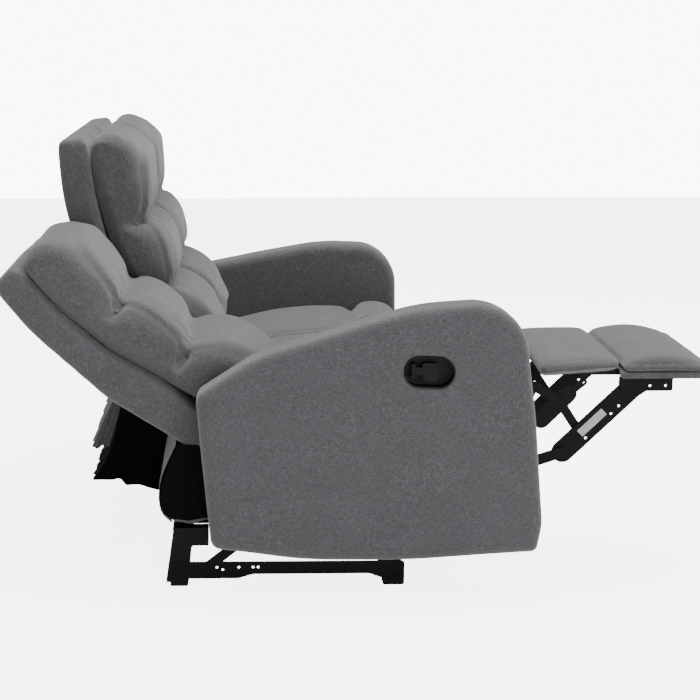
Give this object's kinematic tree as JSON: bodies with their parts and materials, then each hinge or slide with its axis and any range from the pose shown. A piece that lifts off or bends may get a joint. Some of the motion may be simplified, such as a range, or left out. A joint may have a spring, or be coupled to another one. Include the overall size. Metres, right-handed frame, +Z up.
{
  "type": "reclining sofa",
  "caption": "Three-seat reclining sofa with slim padded arms: both end seats glide forward, raise a footrest and lay their backs down; the middle seat is fixed",
  "frame": {"origin": "on the floor, under the middle of the sofa's outline with the near seat open", "axes": "+X forward, the way a sitter faces; +Y along the sofa from the open near seat to the closed far seat; +Z up"},
  "size_m": [1.6897, 1.792, 1.0452],
  "materials": {
    "grey_fabric": "woven heathered upholstery cloth, matt",
    "black_lining": "thin non-woven lining, matt",
    "wood": "plain pine and plywood, sanded",
    "black_wood": "stained black, matt",
    "black_steel": "black powder coat, satin",
    "spring_steel": "bare drawn wire",
    "black_plastic": "moulded, fine grain",
    "handle_plastic": "moulded, fine grain",
    "label_grey": "smooth blank label"
  },
  "bodies": {
    "base": {"near_base_rails": "black_steel", "near_rear_posts": "black_plastic", "near_front_feet": "black_plastic", "near_cross_tubes": "black_steel", "far_base_rails": "black_steel", "far_rear_posts": "black_plastic", "far_front_feet": "black_plastic", "far_cross_tubes": "black_steel", "middle_seat_frame": "wood", "middle_seat_springs": "spring_steel", "middle_seat_cushion": "grey_fabric", "middle_back_shell": "grey_fabric", "middle_back_pillow": "grey_fabric", "middle_back_brackets": "black_steel", "middle_front_panel": "grey_fabric", "middle_rear_curtain": "black_lining", "middle_base": "black_wood"},
    "near_rear_swing": {"near_rear_swing_links": "black_steel"},
    "near_seat": {"near_side_plates": "black_steel", "near_seat_frame": "wood", "near_seat_cushion": "grey_fabric", "near_seat_springs": "spring_steel", "near_arm": "grey_fabric", "near_handle_cup": "handle_plastic", "near_rear_curtain": "black_lining"},
    "near_front_swing": {"near_front_swing_links": "black_steel"},
    "near_upper_link": {"near_upper_links": "black_steel"},
    "near_lower_link": {"near_lower_links": "black_steel"},
    "near_ottoman_link": {"near_ottoman_links": "black_steel", "near_blank_label": "label_grey"},
    "near_stay_link": {"near_stay_links": "black_steel"},
    "near_footrest": {"near_footrest_boards": "grey_fabric", "near_footrest_inner_pad": "grey_fabric", "near_footrest_outer_pad": "grey_fabric", "near_footrest_brackets": "black_steel"},
    "near_back": {"near_back_shell": "grey_fabric", "near_back_pillow": "grey_fabric", "near_back_brackets": "black_steel"},
    "near_handle": {"near_release_handle": "handle_plastic"},
    "far_rear_swing": {"far_rear_swing_links": "black_steel"},
    "far_seat": {"far_side_plates": "black_steel", "far_seat_frame": "wood", "far_seat_cushion": "grey_fabric", "far_seat_springs": "spring_steel", "far_arm": "grey_fabric", "far_handle_cup": "handle_plastic", "far_rear_curtain": "black_lining"},
    "far_front_swing": {"far_front_swing_links": "black_steel"},
    "far_upper_link": {"far_upper_links": "black_steel"},
    "far_lower_link": {"far_lower_links": "black_steel"},
    "far_ottoman_link": {"far_ottoman_links": "black_steel"},
    "far_stay_link": {"far_stay_links": "black_steel"},
    "far_footrest": {"far_footrest_boards": "grey_fabric", "far_footrest_inner_pad": "grey_fabric", "far_footrest_outer_pad": "grey_fabric", "far_footrest_brackets": "black_steel"},
    "far_back": {"far_back_shell": "grey_fabric", "far_back_pillow": "grey_fabric", "far_back_brackets": "black_steel"},
    "far_handle": {"far_release_handle": "handle_plastic"}
  },
  "joints": [
    {"name": "near_glide", "type": "hinge", "parent": "base", "child": "near_rear_swing", "pos_m": [-0.27996, -0.52, 0.09809], "axis": [0, 1, 0], "range_deg": [-80.19, 0]},
    {"name": "near_seat_tilt", "type": "hinge", "parent": "near_rear_swing", "child": "near_seat", "pos_m": [-0.18612, -0.52, 0.22395], "axis": [0, -1, 0], "range_deg": [-86.19, 0]},
    {"name": "near_front_glide", "type": "hinge", "parent": "base", "child": "near_front_swing", "pos_m": [0.07861, -0.52, 0.0605], "axis": [0, 1, 0], "range_deg": [-70.87, 0]},
    {"name": "near_upper_turn", "type": "hinge", "parent": "near_seat", "child": "near_upper_link", "pos_m": [0.36747, -0.52, 0.33748], "axis": [0, -1, 0], "range_deg": [-129.16, 0]},
    {"name": "near_lower_turn", "type": "hinge", "parent": "near_seat", "child": "near_lower_link", "pos_m": [0.33171, -0.52, 0.28546], "axis": [0, -1, 0], "range_deg": [-129.16, 0]},
    {"name": "near_ottoman_turn", "type": "hinge", "parent": "near_upper_link", "child": "near_ottoman_link", "pos_m": [0.53486, -0.52, 0.3671], "axis": [0, 1, 0], "range_deg": [-129.16, 0]},
    {"name": "near_stay_turn", "type": "hinge", "parent": "near_upper_link", "child": "near_stay_link", "pos_m": [0.48934, -0.52, 0.43672], "axis": [0, 1, 0], "range_deg": [-129.16, 0]},
    {"name": "near_footrest_turn", "type": "hinge", "parent": "near_ottoman_link", "child": "near_footrest", "pos_m": [0.65904, -0.52, 0.46763], "axis": [0, -1, 0], "range_deg": [-84, 0]},
    {"name": "near_recline", "type": "hinge", "parent": "near_seat", "child": "near_back", "pos_m": [-0.19544, -0.52, 0.41302], "axis": [0, -1, 0], "range_deg": [-29, 0], "deforming": ["near_rear_curtain"]},
    {"name": "near_handle_pull", "type": "hinge", "parent": "near_seat", "child": "near_handle", "pos_m": [0.12698, -0.885, 0.54001], "axis": [-0.0471, 0, -0.9989], "range_deg": [0, 25], "stiffness_Nm_per_rad": 1},
    {"name": "far_glide", "type": "hinge", "parent": "base", "child": "far_rear_swing", "pos_m": [-0.27996, 0.52, 0.09809], "axis": [0, 1, 0], "range_deg": [0, 80.19]},
    {"name": "far_seat_tilt", "type": "hinge", "parent": "far_rear_swing", "child": "far_seat", "pos_m": [-0.388, 0.52, 0.212], "axis": [0, -1, 0], "range_deg": [0, 86.19]},
    {"name": "far_front_glide", "type": "hinge", "parent": "base", "child": "far_front_swing", "pos_m": [0.07861, 0.52, 0.0605], "axis": [0, 1, 0], "range_deg": [0, 70.87]},
    {"name": "far_upper_turn", "type": "hinge", "parent": "far_seat", "child": "far_upper_link", "pos_m": [0.17442, 0.52, 0.26704], "axis": [0, -1, 0], "range_deg": [0, 129.16]},
    {"name": "far_lower_turn", "type": "hinge", "parent": "far_seat", "child": "far_lower_link", "pos_m": [0.13342, 0.52, 0.21904], "axis": [0, -1, 0], "range_deg": [0, 129.16]},
    {"name": "far_ottoman_turn", "type": "hinge", "parent": "far_upper_link", "child": "far_ottoman_link", "pos_m": [0.0766, 0.52, 0.128], "axis": [0, 1, 0], "range_deg": [0, 129.16]},
    {"name": "far_stay_turn", "type": "hinge", "parent": "far_upper_link", "child": "far_stay_link", "pos_m": [0.15797, 0.52, 0.11073], "axis": [0, 1, 0], "range_deg": [0, 129.16]},
    {"name": "far_footrest_turn", "type": "hinge", "parent": "far_ottoman_link", "child": "far_footrest", "pos_m": [0.2106, 0.52, 0.215], "axis": [0, -1, 0], "range_deg": [0, 84]},
    {"name": "far_recline", "type": "hinge", "parent": "far_seat", "child": "far_back", "pos_m": [-0.3775, 0.52, 0.401], "axis": [0, -1, 0], "range_deg": [0, 29], "deforming": ["far_rear_curtain"]},
    {"name": "far_handle_pull", "type": "hinge", "parent": "far_seat", "child": "far_handle", "pos_m": [-0.04357, 0.885, 0.4936], "axis": [0.1513, 0, 0.9885], "range_deg": [0, 25], "stiffness_Nm_per_rad": 1}
  ],
  "couplings": [
    {"joint": "near_seat_tilt", "follows": "near_glide", "ratio": 1.0748},
    {"joint": "near_front_glide", "follows": "near_glide", "ratio": 0.88382},
    {"joint": "near_upper_turn", "follows": "near_glide", "ratio": 1.6108},
    {"joint": "near_lower_turn", "follows": "near_glide", "ratio": 1.6108},
    {"joint": "near_ottoman_turn", "follows": "near_glide", "ratio": 1.6108},
    {"joint": "near_stay_turn", "follows": "near_glide", "ratio": 1.6108},
    {"joint": "near_footrest_turn", "follows": "near_glide", "ratio": 1.0475},
    {"joint": "far_seat_tilt", "follows": "far_glide", "ratio": 1.0748},
    {"joint": "far_front_glide", "follows": "far_glide", "ratio": 0.88382},
    {"joint": "far_upper_turn", "follows": "far_glide", "ratio": 1.6108},
    {"joint": "far_lower_turn", "follows": "far_glide", "ratio": 1.6108},
    {"joint": "far_ottoman_turn", "follows": "far_glide", "ratio": 1.6108},
    {"joint": "far_stay_turn", "follows": "far_glide", "ratio": 1.6108},
    {"joint": "far_footrest_turn", "follows": "far_glide", "ratio": 1.0475}
  ]
}
